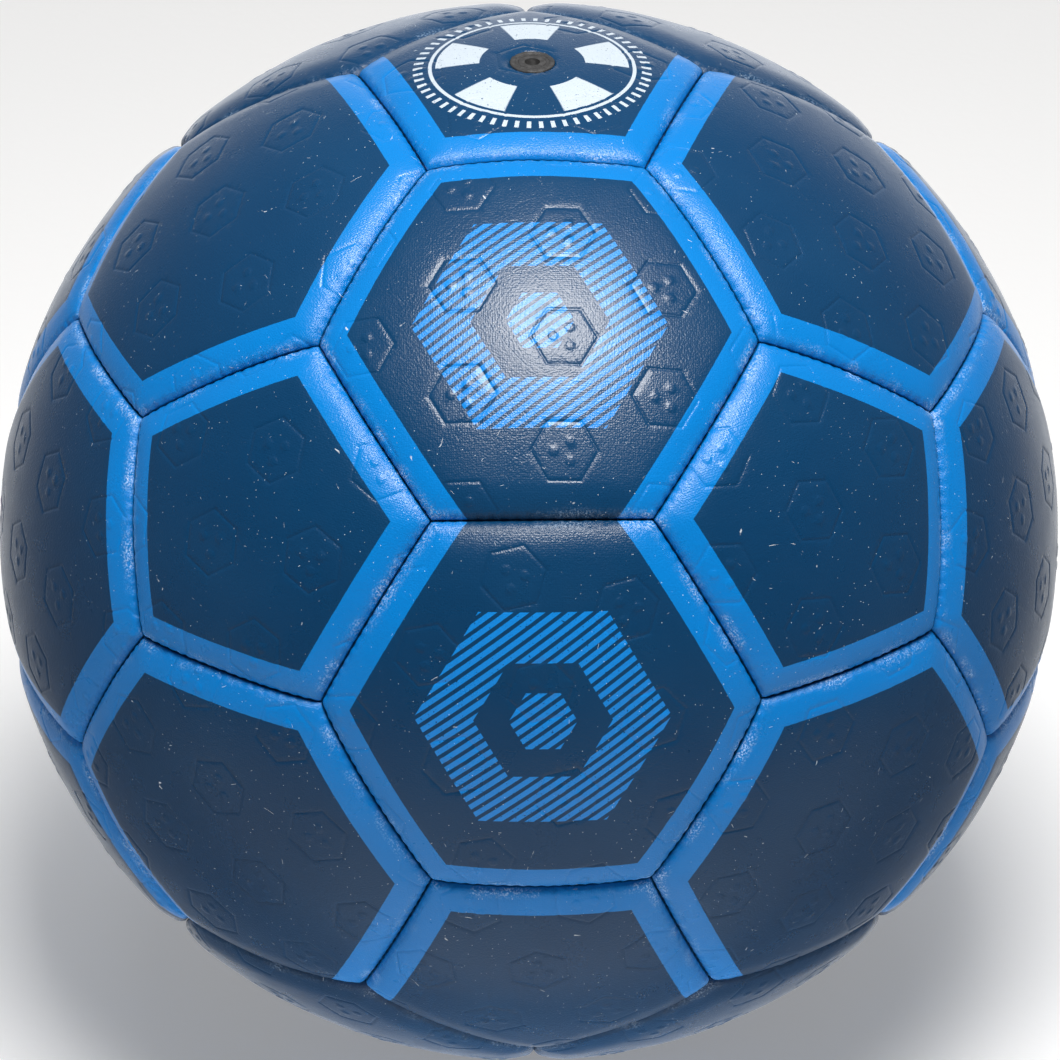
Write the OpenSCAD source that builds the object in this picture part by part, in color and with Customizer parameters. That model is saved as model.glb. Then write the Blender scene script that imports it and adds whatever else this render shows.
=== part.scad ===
// Hand-sewn handball: thirty-two cushioned panels over a bladder with a needle valve.
// The origin is the middle of the ball, +Z passes through the valve and the front is toward -Y.

/* [Ball] */
// Outside diameter of the inflated ball
ball_d = 175; // [160:1:190]

/* [Cover] */
// Thickness of the coated outer skin
skin_t = 1.4; // [1:0.1:1.6]
// Thickness of the foam backing
foam_t = 1.8; // [1.4:0.1:2.2]
// Thickness of the woven lining
lining_t = 0.8; // [0.5:0.1:1]
// Bond line between two layers
bond_gap = 0.1; // [0.06:0.01:0.15]

/* [Seams] */
// Diameter of the sewing thread
thread_d = 0.6; // [0.4:0.05:0.8]
// Clearance between the thread and each turned-in edge
thread_gap = 0.05; // [0.03:0.01:0.1]
// Radius over which the skin rolls into a seam
roll_r = 3.4; // [2.8:0.1:3.8]
// Height by which the turned-in edges stand past the lining, inside
edge_stand = 1; // [0.8:0.1:1.6]
// Length of seam left without thread at each corner
corner_gap = 0.6; // [0.5:0.1:2]

/* [Bladder] */
// Wall thickness of the bladder
bladder_t = 1; // [0.8:0.1:1.6]
// Clearance between the bladder and the turned-in edges
bladder_gap = 0.2; // [0.1:0.05:0.3]

/* [Valve] */
// Diameter of the rubber face that shows
face_d = 6.8; // [6.4:0.1:8]
// Depth of the rubber face below the surface
face_sink = 0.2; // [0.1:0.05:0.4]
// Clearance between the valve's neck and the layers that it passes through
neck_gap = 0.2; // [0.1:0.05:0.3]
// Diameter of the flange that is bonded inside the valve panel
flange_d = 36; // [24:1:38]
// Diameter of the valve's body inside the bladder
body_d = 12; // [10.5:0.5:16]
// Length of the valve's body inside the bladder
body_len = 13; // [10:0.5:18]
// Radius of the edge at the inner end of the body
body_round = 1.5; // [1:0.1:2]
// Diameter of the plug's stem
stem_d = 4.4; // [4:0.1:5]
// Diameter of the bulb that locks the plug in the body
bulb_d = 7; // [6:0.1:8]
// Height of the bulb
bulb_len = 3.6; // [2.4:0.1:4.4]
// Clearance between the plug and the body
plug_gap = 0.05; // [0.03:0.01:0.08]
// Diameter of the channel for the pump needle
needle_d = 2; // [1.8:0.1:2.2]
// Diameter of the funnel at the mouth of the channel
mouth_d = 2.5; // [2.4:0.1:3]
// Depth of the funnel
mouth_depth = 1.2; // [0.8:0.1:2]
// Thickness of the slit rubber that closes the channel
slit_t = 1.5; // [1:0.1:2.5]

/* [Hidden] */
$fn = 128;
skin_colour = "#1d4066";
foam_colour = "#e6dfc8";
lining_colour = "#f1f0ea";
thread_colour = "#12304f";
bladder_colour = "#26272a";
rubber_colour = "#3b3e41";

// Angles of a truncated icosahedron: from a panel's middle to its edges, its corners and its neighbours
golden = (1 + sqrt(5)) / 2;
full_turn = 360;
fifth = full_turn / 5;
pentagon_to_pentagon = atan(2);
pentagon_to_hexagon = acos(sqrt((5 + 2 * sqrt(5)) / 15));
hexagon_edge = atan(1 / pow(golden, 2));
pentagon_edge = pentagon_to_hexagon - hexagon_edge;
hexagon_corner = atan(tan(hexagon_edge) / cos(full_turn / 12));
pentagon_corner = atan(tan(pentagon_edge) / cos(full_turn / 10));
half_seam = acos(cos(pentagon_corner) / cos(pentagon_edge));
hexagon_seam_middle = pentagon_corner + half_seam;

// A row is a ring of five panels: its name, its angle from the valve, the azimuth of its first
// panel and the turn of each about its own middle
front = -90;
side = front + fifth / 2;
pentagon_rows = [
    ["upper", pentagon_to_pentagon, side, 0],
    ["lower", full_turn / 2 - pentagon_to_pentagon, front, full_turn / 2]
];
hexagon_rows = [
    ["top", pentagon_to_hexagon, front, 0],
    ["upper", pentagon_to_hexagon + 2 * hexagon_edge, front, 0],
    ["lower", full_turn / 2 - pentagon_to_hexagon - 2 * hexagon_edge, side, 0],
    ["bottom", full_turn / 2 - pentagon_to_hexagon, side, 0]
];
places = [0:4];
valve_place = [0, front, 0];
base_place = [full_turn / 2, side - full_turn / 2, 0];

// Depths below the surface and the radii that follow from them
ball_r = ball_d / 2;
foam_depth = skin_t + bond_gap;
lining_depth = foam_depth + foam_t + bond_gap;
inside_depth = lining_depth + lining_t;
edge_depth = inside_depth + edge_stand;
bladder_r = ball_r - edge_depth - bladder_gap;

// Section across a seam: u runs from the middle of the seam into the panel, v away from the middle
// of the ball. The roll crosses the face and the turned-in edge of a panel at a small angle.
roll_skew = 15;
seam_half = thread_d / 2 + thread_gap;
roll_u = seam_half + roll_r * cos(roll_skew);
roll_v = ball_r - roll_r * cos(roll_skew);
roll_depth = roll_r * (cos(roll_skew) - sin(roll_skew));
thread_v = ball_r - roll_depth - thread_d / 2 - thread_gap;
cap_spare = 1;
overrun = 1;

// Heights on the axis of the valve
face_z = ball_r - face_sink;
flange_z = bladder_r + bond_gap;
flange_t = ball_r - inside_depth - bond_gap - flange_z;
body_z = bladder_r - body_len;
bulb_z = bladder_r - body_len / 2;
mouth_z = face_z - mouth_depth;
channel_z = body_z + slit_t;

function row_name(shape, row, k) = str("skin_", shape, "_", row[0], "_", k + 1);
function row_place(row, k) = [row[1], row[2] + k * fifth, row[3]];

// Sends a panel made about +Z to its place on the ball
module at_place(place) {
    rotate([0, place[0], place[1]]) rotate([0, 0, place[2]]) children();
}

module at_every_pentagon() {
    at_place(valve_place) children();
    at_place(base_place) children();
    for (row = pentagon_rows) for (k = places) at_place(row_place(row, k)) children();
}

module at_every_hexagon() {
    for (row = hexagon_rows) for (k = places) at_place(row_place(row, k)) children();
}

// Turns what is made about Z so that Z is square to the seam plane and +X is the seam's middle
module at_seam(angle) {
    rotate([0, angle - full_turn / 4, 0]) children();
}

// What lies outside a layer across one seam, as a section to turn about the seam plane's normal
module outside_section(inset, roll, depth, reach) {
    low = ball_r - depth - overrun;
    high = ball_r + overrun;
    translate([low, inset - reach]) square([high - low, reach]);
    if (roll > 0) difference() {
        translate([roll_v, inset - overrun]) square([high - roll_v, roll_u - inset + overrun]);
        translate([roll_v, roll_u]) circle(roll);
    }
}

// Takes away what lies outside the given number of sides, one side after another
module trimmed(count, sides, edge, cap, inset, roll, bottom) {
    reach = ball_r * sin(cap - edge) + inset + overrun;
    sweep = acos(cos(cap) / cos(edge)) + cap_spare;
    if (count == 0) children();
    else difference() {
        trimmed(count - 1, sides, edge, cap, inset, roll, bottom) children();
        rotate([0, 0, count * full_turn / sides]) at_seam(edge) rotate([0, 0, -sweep])
            rotate_extrude(angle = 2 * sweep) outside_section(inset, roll, bottom, reach);
    }
}

// One layer of a panel about +Z, between two depths, inset from its seams and rolled at its edges
module layer(sides, edge, corner, top, bottom, inset, roll) {
    cap = corner + cap_spare;
    trimmed(sides, sides, edge, cap, inset, roll, bottom) rotate_extrude() intersection() {
        difference() {
            circle(ball_r - top);
            circle(ball_r - bottom);
        }
        polygon([[0, 0], [ball_r * tan(cap), ball_r], [0, ball_r]]);
    }
}

// Outer skin of a panel: a shallow tray whose rim is the edge that is turned in and sewn
module skin(sides, edge, corner) {
    color(skin_colour) difference() {
        layer(sides, edge, corner, 0, edge_depth, seam_half, roll_r);
        layer(sides, edge, corner, skin_t, edge_depth + overrun, seam_half + skin_t, roll_r - skin_t);
    }
}

module foam(sides, edge, corner) {
    layer(sides, edge, corner, foam_depth, foam_depth + foam_t, seam_half + foam_depth,
        roll_r - foam_depth);
}

module lining(sides, edge, corner) {
    layer(sides, edge, corner, lining_depth, inside_depth, seam_half + foam_depth, 0);
}

module hexagon_skin() {
    skin(6, hexagon_edge, hexagon_corner);
}

module pentagon_skin() {
    skin(5, pentagon_edge, pentagon_corner);
}

// Room for the valve's neck through the layers of the cover
module neck_hole() {
    cylinder(h = ball_r + overrun, d = face_d + 2 * neck_gap);
}

module valve_skin() {
    color(skin_colour) difference() {
        at_place(valve_place) pentagon_skin();
        neck_hole();
    }
}

module foam_hexagons() {
    color(foam_colour) at_every_hexagon() foam(6, hexagon_edge, hexagon_corner);
}

module foam_pentagons() {
    color(foam_colour) difference() {
        at_every_pentagon() foam(5, pentagon_edge, pentagon_corner);
        neck_hole();
    }
}

module lining_hexagons() {
    color(lining_colour) at_every_hexagon() lining(6, hexagon_edge, hexagon_corner);
}

module lining_pentagons() {
    color(lining_colour) difference() {
        at_every_pentagon() lining(5, pentagon_edge, pentagon_corner);
        neck_hole();
    }
}

// A run of thread along one seam, whose middle is on +X
module thread_run() {
    half = half_seam - full_turn / 2 * corner_gap / (PI * thread_v);
    rotate([0, 0, -half]) rotate_extrude(angle = 2 * half)
        translate([thread_v, 0]) circle(d = thread_d);
}

// The seams between a pentagon and a hexagon: all the sides of every pentagon
module thread_pentagon_seams() {
    color(thread_colour) at_every_pentagon()
        for (k = [1:5]) rotate([0, 0, k * fifth]) at_seam(pentagon_edge) thread_run();
}

// The seams between two hexagons: each leaves the corner of a pentagon at the given turns
module hexagon_seams_from(place, turns) {
    at_place(place) for (turn = turns) rotate([0, 0, turn])
        rotate([0, hexagon_seam_middle - full_turn / 4, 0]) rotate([full_turn / 4, 0, 0])
            thread_run();
}

module thread_hexagon_seams() {
    all_corners = [for (k = [1:5]) k * fifth + fifth / 2];
    color(thread_colour) {
        hexagon_seams_from(valve_place, all_corners);
        hexagon_seams_from(base_place, all_corners);
        for (k = places) {
            hexagon_seams_from(row_place(pentagon_rows[0], k), [-fifth / 2, fifth / 2, fifth * 3 / 2]);
            hexagon_seams_from(row_place(pentagon_rows[1], k), [fifth * 3 / 2]);
        }
    }
}

module bladder() {
    color(bladder_colour) difference() {
        sphere(bladder_r);
        sphere(bladder_r - bladder_t);
        cylinder(h = bladder_r + overrun, d = body_d + 2 * bond_gap);
    }
}

// The plug's outline, grown by the clearance to cut its seat
module plug_section(grow, top, bottom) {
    translate([0, bottom]) square([stem_d / 2 + grow, top - bottom]);
    bevel = (bulb_d - stem_d) / 2;
    polygon([
        [0, bulb_z - bulb_len / 2 - grow],
        [stem_d / 2 + grow, bulb_z - bulb_len / 2 - grow],
        [bulb_d / 2 + grow, bulb_z - bulb_len / 2 + bevel / 2 - grow],
        [bulb_d / 2 + grow, bulb_z + bulb_len / 2 - bevel / 2 + grow],
        [stem_d / 2 + grow, bulb_z + bulb_len / 2 + grow],
        [0, bulb_z + bulb_len / 2 + grow]
    ]);
}

// Moulded rubber body: a neck through the cover, a flange under the lining and a barrel inside
module valve_body() {
    color(rubber_colour) rotate_extrude() difference() {
        union() {
            translate([0, flange_z]) square([face_d / 2, face_z - flange_z]);
            intersection() {
                difference() {
                    circle(flange_z + flange_t);
                    circle(flange_z);
                }
                square([flange_d / 2, ball_r]);
            }
            translate([0, body_z + body_round])
                square([body_d / 2, flange_z + flange_t / 2 - body_z - body_round]);
            translate([0, body_z]) square([body_d / 2 - body_round, body_round + overrun]);
            translate([body_d / 2 - body_round, body_z + body_round]) circle(body_round);
        }
        plug_section(plug_gap, face_z + overrun, body_z - overrun);
    }
}

// Plug that seals on the pump's needle: a funnel, a channel and slit rubber below it
module valve_plug() {
    color(rubber_colour) rotate_extrude() difference() {
        plug_section(0, face_z, body_z);
        translate([0, channel_z]) square([needle_d / 2, face_z - channel_z]);
        polygon([
            [0, mouth_z],
            [needle_d / 2, mouth_z],
            [mouth_d / 2, face_z],
            [mouth_d / 2, face_z + overrun],
            [0, face_z + overrun]
        ]);
    }
}

valve_skin();  // skin_pentagon_valve
at_place(base_place) pentagon_skin();  // skin_pentagon_base
for (row = pentagon_rows) for (k = places)
    at_place(row_place(row, k)) pentagon_skin();
for (row = hexagon_rows) for (k = places)
    at_place(row_place(row, k)) hexagon_skin();
foam_pentagons();
foam_hexagons();
lining_pentagons();
lining_hexagons();
thread_pentagon_seams();
thread_hexagon_seams();
bladder();
valve_body();
valve_plug();
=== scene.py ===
import math

import bmesh
import bpy
import numpy as np
from bpy.props import FloatProperty, FloatVectorProperty, IntProperty, PointerProperty
from mathutils import Matrix, Quaternion, Vector


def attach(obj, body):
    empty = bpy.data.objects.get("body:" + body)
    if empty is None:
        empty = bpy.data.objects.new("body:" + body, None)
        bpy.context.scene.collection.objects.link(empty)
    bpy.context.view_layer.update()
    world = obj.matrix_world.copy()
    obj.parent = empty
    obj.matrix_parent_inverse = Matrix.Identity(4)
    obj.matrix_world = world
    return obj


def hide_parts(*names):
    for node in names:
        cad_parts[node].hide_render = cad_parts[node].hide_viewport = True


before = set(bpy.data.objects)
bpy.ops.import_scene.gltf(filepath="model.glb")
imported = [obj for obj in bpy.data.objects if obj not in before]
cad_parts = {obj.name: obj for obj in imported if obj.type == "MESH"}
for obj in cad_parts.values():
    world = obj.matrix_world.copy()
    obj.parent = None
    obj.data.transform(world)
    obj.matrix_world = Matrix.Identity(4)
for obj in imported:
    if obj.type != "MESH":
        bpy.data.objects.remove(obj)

bl_info = {
    "name": "Handball",
    "version": (1, 0, 0),
    "blender": (4, 5, 0),
    "location": "3D View > Sidebar > Handball",
    "description": "A hand-sewn handball of 32 padded panels round a needle valve",
    "category": "Add Mesh",
}

MM = 0.001

# Angles of the panel pattern, a truncated icosahedron, seen from the middle of the ball
GOLDEN = (1 + math.sqrt(5)) / 2
PENTAGON_TO_PENTAGON = math.atan(2)
PENTAGON_TO_HEXAGON = math.acos(math.sqrt((5 + 2 * math.sqrt(5)) / 15))
HEXAGON_EDGE = math.atan(1 / GOLDEN**2)
PENTAGON_EDGE = PENTAGON_TO_HEXAGON - HEXAGON_EDGE
EDGE_ANGLE = {5: PENTAGON_EDGE, 6: HEXAGON_EDGE}
HALF_SEAM = math.atan(math.tan(PENTAGON_EDGE) * math.tan(math.pi / 5) * math.cos(PENTAGON_EDGE))
FIFTH = math.tau / 5
FRONT = -math.pi / 2
SIDE = FRONT + FIFTH / 2

# Rows of five panels: shape, name, angle from the valve, place of the first one, twist about its middle
ROWS = (
    ("pentagon", "upper", PENTAGON_TO_PENTAGON, SIDE, 0),
    ("pentagon", "lower", math.pi - PENTAGON_TO_PENTAGON, FRONT, math.pi),
    ("hexagon", "top", PENTAGON_TO_HEXAGON, FRONT, 0),
    ("hexagon", "upper", PENTAGON_TO_HEXAGON + 2 * HEXAGON_EDGE, FRONT, 0),
    ("hexagon", "lower", math.pi - PENTAGON_TO_HEXAGON - 2 * HEXAGON_EDGE, SIDE, math.pi),
    ("hexagon", "bottom", math.pi - PENTAGON_TO_HEXAGON, SIDE, math.pi),
)
# Hexagons without a blue trim, and the pairs of hexagons whose shared seam has none
PLAIN = {"hexagon_top_3", "hexagon_top_4", "hexagon_bottom_1", "hexagon_bottom_5"}
BARE_SEAMS = (
    {"hexagon_top_1", "hexagon_upper_1"},
    {"hexagon_lower_3", "hexagon_bottom_3"},
    {"hexagon_upper_5", "hexagon_lower_4"},
    {"hexagon_upper_2", "hexagon_lower_2"},
)
PRINTED = {"hexagon_top_1", "hexagon_upper_1", "hexagon_lower_3", "hexagon_bottom_3"}
VALVE_PANEL = "pentagon_valve"


def placed(polar, azimuth, twist):
    """The turn that sends a panel made about +Z to its place on the ball."""
    spin = Matrix.Rotation(azimuth, 3, "Z") @ Matrix.Rotation(polar, 3, "Y")
    return np.array(spin @ Matrix.Rotation(twist, 3, "Z"))


def all_panels():
    """Name, number of sides and turn of each of the 32 panels."""
    panels = {
        VALVE_PANEL: (5, placed(0, FRONT, 0)),
        "pentagon_base": (5, placed(math.pi, SIDE - math.pi, 0)),
    }
    for shape, row, polar, start, twist in ROWS:
        sides = 5 if shape == "pentagon" else 6
        for k in range(5):
            panels[f"{shape}_{row}_{k + 1}"] = (sides, placed(polar, start + k * FIFTH, twist))
    return panels


PANELS = all_panels()


def seam_frames(sides):
    """Outward normals of the seam planes and the directions along the seams, for a panel about +Z."""
    edge = EDGE_ANGLE[sides]
    turns = np.arange(sides) * math.tau / sides
    flat = np.full(sides, -math.sin(edge))
    normals = np.stack([np.cos(turns) * math.cos(edge), np.sin(turns) * math.cos(edge), flat], 1)
    along = np.stack([-np.sin(turns), np.cos(turns), np.zeros(sides)], 1)
    return normals, along


def seam_middle(sides, k):
    """Direction of the middle of the k-th seam, for a panel about +Z."""
    edge = EDGE_ANGLE[sides]
    angle = k * math.tau / sides
    return math.sin(edge) * math.cos(angle), math.sin(edge) * math.sin(angle), math.cos(edge)


def neighbours(name):
    """The panel across each seam of the named one."""
    sides, turn = PANELS[name]
    others = [other for other in PANELS if other != name]
    centres = np.array([PANELS[other][1][:, 2] for other in others])
    middles = [turn @ seam_middle(sides, k) for k in range(sides)]
    return [others[int(np.argmax(centres @ middle))] for middle in middles]


def has_trim(name, other):
    """Whether the seam between two panels has a blue trim on both sides."""
    return not ({name, other} & PLAIN or {name, other} in BARE_SEAMS)


# Settings


def length(name, description, default, low, high):
    return FloatProperty(name=name, description=description, default=default * MM, min=low * MM,
                         max=high * MM, unit="LENGTH", subtype="DISTANCE", precision=5)


def colour(name, description, default):
    return FloatVectorProperty(name=name, description=description, default=default, min=0, max=1,
                               size=3, subtype="COLOR")


class HandballSizes(bpy.types.PropertyGroup):
    """Sizes of the ball, its trim, sewn edges, thread and valve, and of what is pressed into it."""

    ball_d: length("Ball", "Diameter over the panels", 175, 150, 195)
    skin_t: length("Skin", "Thickness of the coated leather", 1.4, 1, 2)
    edge_depth: length("Turned edge", "Depth to which a panel's edge is turned in", 5.2, 4, 7)
    seam_half: length("Half seam", "From a seam's middle to the leather at a stitch", 0.16, 0.1, 0.6)
    pillow_w: length("Pillow width", "How far from the seam a panel begins to fall", 6.5, 2, 9)
    pillow_d: length("Pillow depth", "How far a panel falls before its edge rolls in", 1.2, 0, 2)
    roll_r: length("Roll", "Radius of the rolled edge", 1.25, 0.4, 2)
    stitch: length("Stitch", "From one stitch to the next", 2, 1.4, 3.5)
    pucker: length("Pucker", "How deep a stitch pulls the rolled edge", 0.16, 0, 0.6)
    trim_w: length("Trim width", "Width of the blue trim on each side of a seam", 5, 3, 8)
    cell_w: length("Pressed cell", "Half width of the pressed hexagons", 4.6, 3, 6)
    cell_pitch: length("Cell pitch", "From one pressed hexagon to the next", 18.5, 14, 26)
    groove_d: length("Groove", "Depth of the pressed lines", 0.115, 0, 0.3)
    thread_d: length("Thread", "Diameter of the sewing thread", 0.6, 0.3, 0.9)
    hole_d: length("Valve hole", "Hole in the top panel", 7.2, 6, 9)
    valve_d: length("Valve", "Diameter of the rubber valve face", 6.8, 5.5, 8.5)
    rows: IntProperty(name="Rows", description="Rows of faces from the middle of a panel to its seam",
                      default=40, min=12, max=64)


class HandballColours(bpy.types.PropertyGroup):
    """Colours of the leather, its trim and prints, the thread, the rubber and the inner layers."""

    navy: colour("Navy", "Coated leather", (0.0020, 0.0415, 0.117))
    navy_worn: colour("Navy, faded", "Coated leather where it is paler", (0.0034, 0.0470, 0.127))
    trim: colour("Trim", "Bright blue along the seams", (0.0008, 0.208, 0.625))
    hatch: colour("Hatching", "Blue of the printed stripes", (0.0050, 0.222, 0.67))
    white: colour("White print", "Ring and marks round the valve", (0.52, 0.60, 0.68))
    chafed: colour("Chafed edge", "Pale scuffs on the rolled edges", (0.55, 0.73, 0.95))
    rubber: colour("Rubber", "Valve", (0.034, 0.034, 0.035))
    thread: colour("Thread", "Sewing thread", (0.008, 0.042, 0.14))
    foam: colour("Foam", "Padding under the leather", (0.55, 0.56, 0.54))
    lining: colour("Lining", "Cloth under the foam", (0.50, 0.47, 0.40))
    bladder: colour("Bladder", "Rubber of the bladder", (0.05, 0.045, 0.04))


# Finishes


class Wiring:
    """A node tree while it is wired. Each method but node gives back an output of what it adds."""

    def __init__(self, tree):
        self.tree = tree
        self.tree.nodes.clear()

    def node(self, kind, inputs=None, **settings):
        """Adds a node and gives it back. A socket is linked, and an input of None keeps its default."""
        made = self.tree.nodes.new(kind)
        for key, value in settings.items():
            setattr(made, key, value)
        for key, value in (inputs or {}).items():
            if isinstance(value, bpy.types.NodeSocket):
                self.tree.links.new(value, made.inputs[key])
            elif value is not None:
                made.inputs[key].default_value = value
        return made

    def math(self, operation, a, b=None, c=None):
        return self.node("ShaderNodeMath", {0: a, 1: b, 2: c}, operation=operation).outputs[0]

    def plus(self, a, b):
        return self.math("ADD", a, b)

    def times(self, a, b):
        return self.math("MULTIPLY", a, b)

    def apart(self, a, b):
        """How far two values are from each other."""
        return self.math("ABSOLUTE", self.math("SUBTRACT", a, b))

    def ramp(self, value, low, high, start=0.0, end=1.0, kind="SMOOTHSTEP"):
        """A step from start to end while the value goes from low to high, smooth or LINEAR."""
        inputs = {"Value": value, "From Min": low, "From Max": high, "To Min": start, "To Max": end}
        return self.node("ShaderNodeMapRange", inputs, interpolation_type=kind).outputs[0]

    def below(self, value, limit, soft):
        """1 where the value is below the limit and 0 above it, over a soft width."""
        return self.ramp(value, limit - soft / 2, limit + soft / 2, 1, 0)

    def above(self, value, limit, soft):
        """0 where the value is below the limit and 1 above it, over a soft width."""
        return self.ramp(value, limit - soft / 2, limit + soft / 2)


class Finish(Wiring):
    """A material while it is wired, on the object's own coordinates."""

    def __init__(self, name):
        self.material = bpy.data.materials.new(name)
        self.material.use_nodes = True
        super().__init__(self.material.node_tree)
        self.place = self.node("ShaderNodeTexCoord").outputs["Object"]

    def blend(self, a, b, share):
        return self.node("ShaderNodeMix", {0: share, 6: a, 7: b}, data_type="RGBA").outputs[2]

    def noise(self, size, detail=2.0, rough=0.5, where=None, warp=0.0):
        """Noise whose blots are about the given size, in metres or in the unit of where."""
        inputs = {"Vector": where or self.place, "Scale": 1 / size, "Detail": detail,
                  "Roughness": rough, "Distortion": warp}
        return self.node("ShaderNodeTexNoise", inputs).outputs[0]

    def cells(self, size, where=None, chance=1.0):
        """Distance to the nearest of points about the given size apart, more even as chance falls."""
        inputs = {"Vector": where or self.place, "Scale": 1 / size, "Randomness": chance}
        return self.node("ShaderNodeTexVoronoi", inputs).outputs["Distance"]

    def stretched(self, x, y, z, where=None):
        """The place, or where, scaled along its axes."""
        inputs = {"Vector": where or self.place, "Scale": (x, y, z)}
        return self.node("ShaderNodeMapping", inputs).outputs[0]

    def attribute(self, name):
        """A piece's own attribute as a vector, and its three parts."""
        made = self.node("ShaderNodeAttribute", attribute_name=name)
        parts = self.node("ShaderNodeSeparateXYZ", {0: made.outputs["Vector"]})
        return made.outputs["Vector"], parts.outputs[0], parts.outputs[1], parts.outputs[2]

    def bump(self, height, distance, under=None):
        inputs = {"Height": height, "Distance": distance, "Normal": under}
        return self.node("ShaderNodeBump", inputs).outputs[0]

    def surface(self, **inputs):
        """Ends the material in one shader with the given inputs."""
        named = {key.replace("_", " "): value for key, value in inputs.items()}
        shader = self.node("ShaderNodeBsdfPrincipled", named)
        self.node("ShaderNodeOutputMaterial", {0: shader.outputs[0]})
        return self.material


def rgba(values, share=1):
    """A colour for a socket, made darker or paler by a share."""
    return (*(value * share for value in values), 1.0)


# Edges of what is printed, in flat millimetres from the middle of its panel, and their softness
PRINT_SOFT = 0.1
HEXAGON_RING = 9.45, 17.55
HEXAGON_CORE = 4.65
VALVE_ARCS = 8.5, 15.6
VALVE_LINE = 16.2, 16.8
VALVE_TICKS = 17.7, 19.3
# The stripes: direction across them, millimetres from one to the next, inked share and softness
STRIPE_SLANT = 0.80, 0.60
STRIPE_PITCH = 1.5
STRIPE_SHARE = 0.58
STRIPE_SOFT = 0.04
# Softness of the ends of the arcs and of the ticks, as a share of the space of one
SPOKE_SOFT = 0.02
# Millimetres by which the trim's edge wanders and is soft
TRIM_RAG = 0.12
TRIM_SOFT = 0.12
DUST = (0.75, 0.80, 0.85, 1)


def hatched_ring(coat, x, y):
    """Share of ink of a hexagonal ring and core drawn in slanting stripes."""
    reach = None
    for angle in (0, 60, 120):
        across, up = math.cos(math.radians(angle)), math.sin(math.radians(angle))
        side = coat.math("ABSOLUTE", coat.plus(coat.times(x, across), coat.times(y, up)))
        reach = side if reach is None else coat.math("MAXIMUM", reach, side)
    low, high = HEXAGON_RING
    ring = coat.times(coat.below(reach, high, PRINT_SOFT), coat.above(reach, low, PRINT_SOFT))
    shape = coat.math("MAXIMUM", ring, coat.below(reach, HEXAGON_CORE, PRINT_SOFT))
    slant = coat.plus(coat.times(x, STRIPE_SLANT[0]), coat.times(y, STRIPE_SLANT[1]))
    wave = coat.apart(coat.math("FRACT", coat.math("DIVIDE", slant, STRIPE_PITCH)), 0.5)
    return coat.times(shape, coat.below(wave, STRIPE_SHARE / 2, STRIPE_SOFT))


def valve_ring(coat, x, y):
    """Share of ink of the arcs, the line and the tick marks round the valve."""
    reach = coat.math("SQRT", coat.plus(coat.times(x, x), coat.times(y, y)))
    turn = coat.math("ARCTAN2", y, x)

    def band(low, high):
        return coat.times(coat.above(reach, low, PRINT_SOFT), coat.below(reach, high, PRINT_SOFT))

    def spokes(number, share):
        part = coat.math("FRACT", coat.times(turn, number / math.tau))
        return coat.below(coat.apart(part, 0.5), share / 2, SPOKE_SOFT)

    arcs = coat.times(band(*VALVE_ARCS), spokes(5, 0.5))
    ticks = coat.times(band(*VALVE_TICKS), spokes(60, 0.36))
    return coat.math("MAXIMUM", coat.math("MAXIMUM", arcs, ticks), band(*VALVE_LINE))


def scuffs(coat, depth_in, in_trim):
    """Chafing on the crown of the rolled edge, in patches along the seam, strongest on the trim."""
    crown = coat.times(coat.ramp(depth_in, 0.22, 0.45), coat.ramp(depth_in, 0.8, 2.2, 1, 0))
    flecks = coat.ramp(coat.noise(0.32 * MM, 4, 0.7), 0.48, 0.62)
    patches = coat.ramp(coat.noise(7.5 * MM, 3), 0.45, 0.67)
    chafed = coat.times(crown, coat.times(patches, flecks))
    return coat.times(chafed, coat.ramp(in_trim, 0, 1, 0.3, 0.75))


def specks_and_lint(coat):
    """Specks of dust in loose swarms, and short hairs of lint."""
    specks = coat.ramp(coat.cells(1.1 * MM), 0.045, 0.09, 1, 0)
    specks = coat.times(specks, coat.ramp(coat.noise(15 * MM, 3), 0.36, 0.60))
    lint = coat.ramp(coat.apart(coat.noise(7 * MM, 0), 0.5), 0.0012, 0.0034, 1, 0)
    lint = coat.times(lint, coat.ramp(coat.noise(1.6 * MM, 1), 0.66, 0.72))
    return coat.times(coat.math("MAXIMUM", specks, lint), 0.75)


def leather_relief(coat, flat, seam, depth_in):
    """Grain all over, a few creases, and a fine roughness towards the seams."""
    grain = coat.cells(0.36, where=flat, chance=0.6)
    grain = coat.plus(grain, coat.times(coat.noise(0.4 * MM, 1), 0.4))
    creases = coat.ramp(coat.apart(coat.noise(16 * MM, 2, warp=1.2), 0.5), 0.0, 0.012, 1, 0)
    creases = coat.times(creases, coat.ramp(coat.noise(9 * MM, 1), 0.5, 0.7))
    chafing = coat.noise(1 * MM, 2, where=coat.stretched(0.9, 0.25, 0.0, seam))
    chafing = coat.times(chafing, coat.ramp(depth_in, 0.4, 3.2, 1, 0))
    shape = coat.plus(coat.times(creases, -0.3), coat.times(chafing, 0.6))
    return coat.bump(shape, 0.05 * MM, under=coat.bump(grain, 0.04 * MM))


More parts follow.
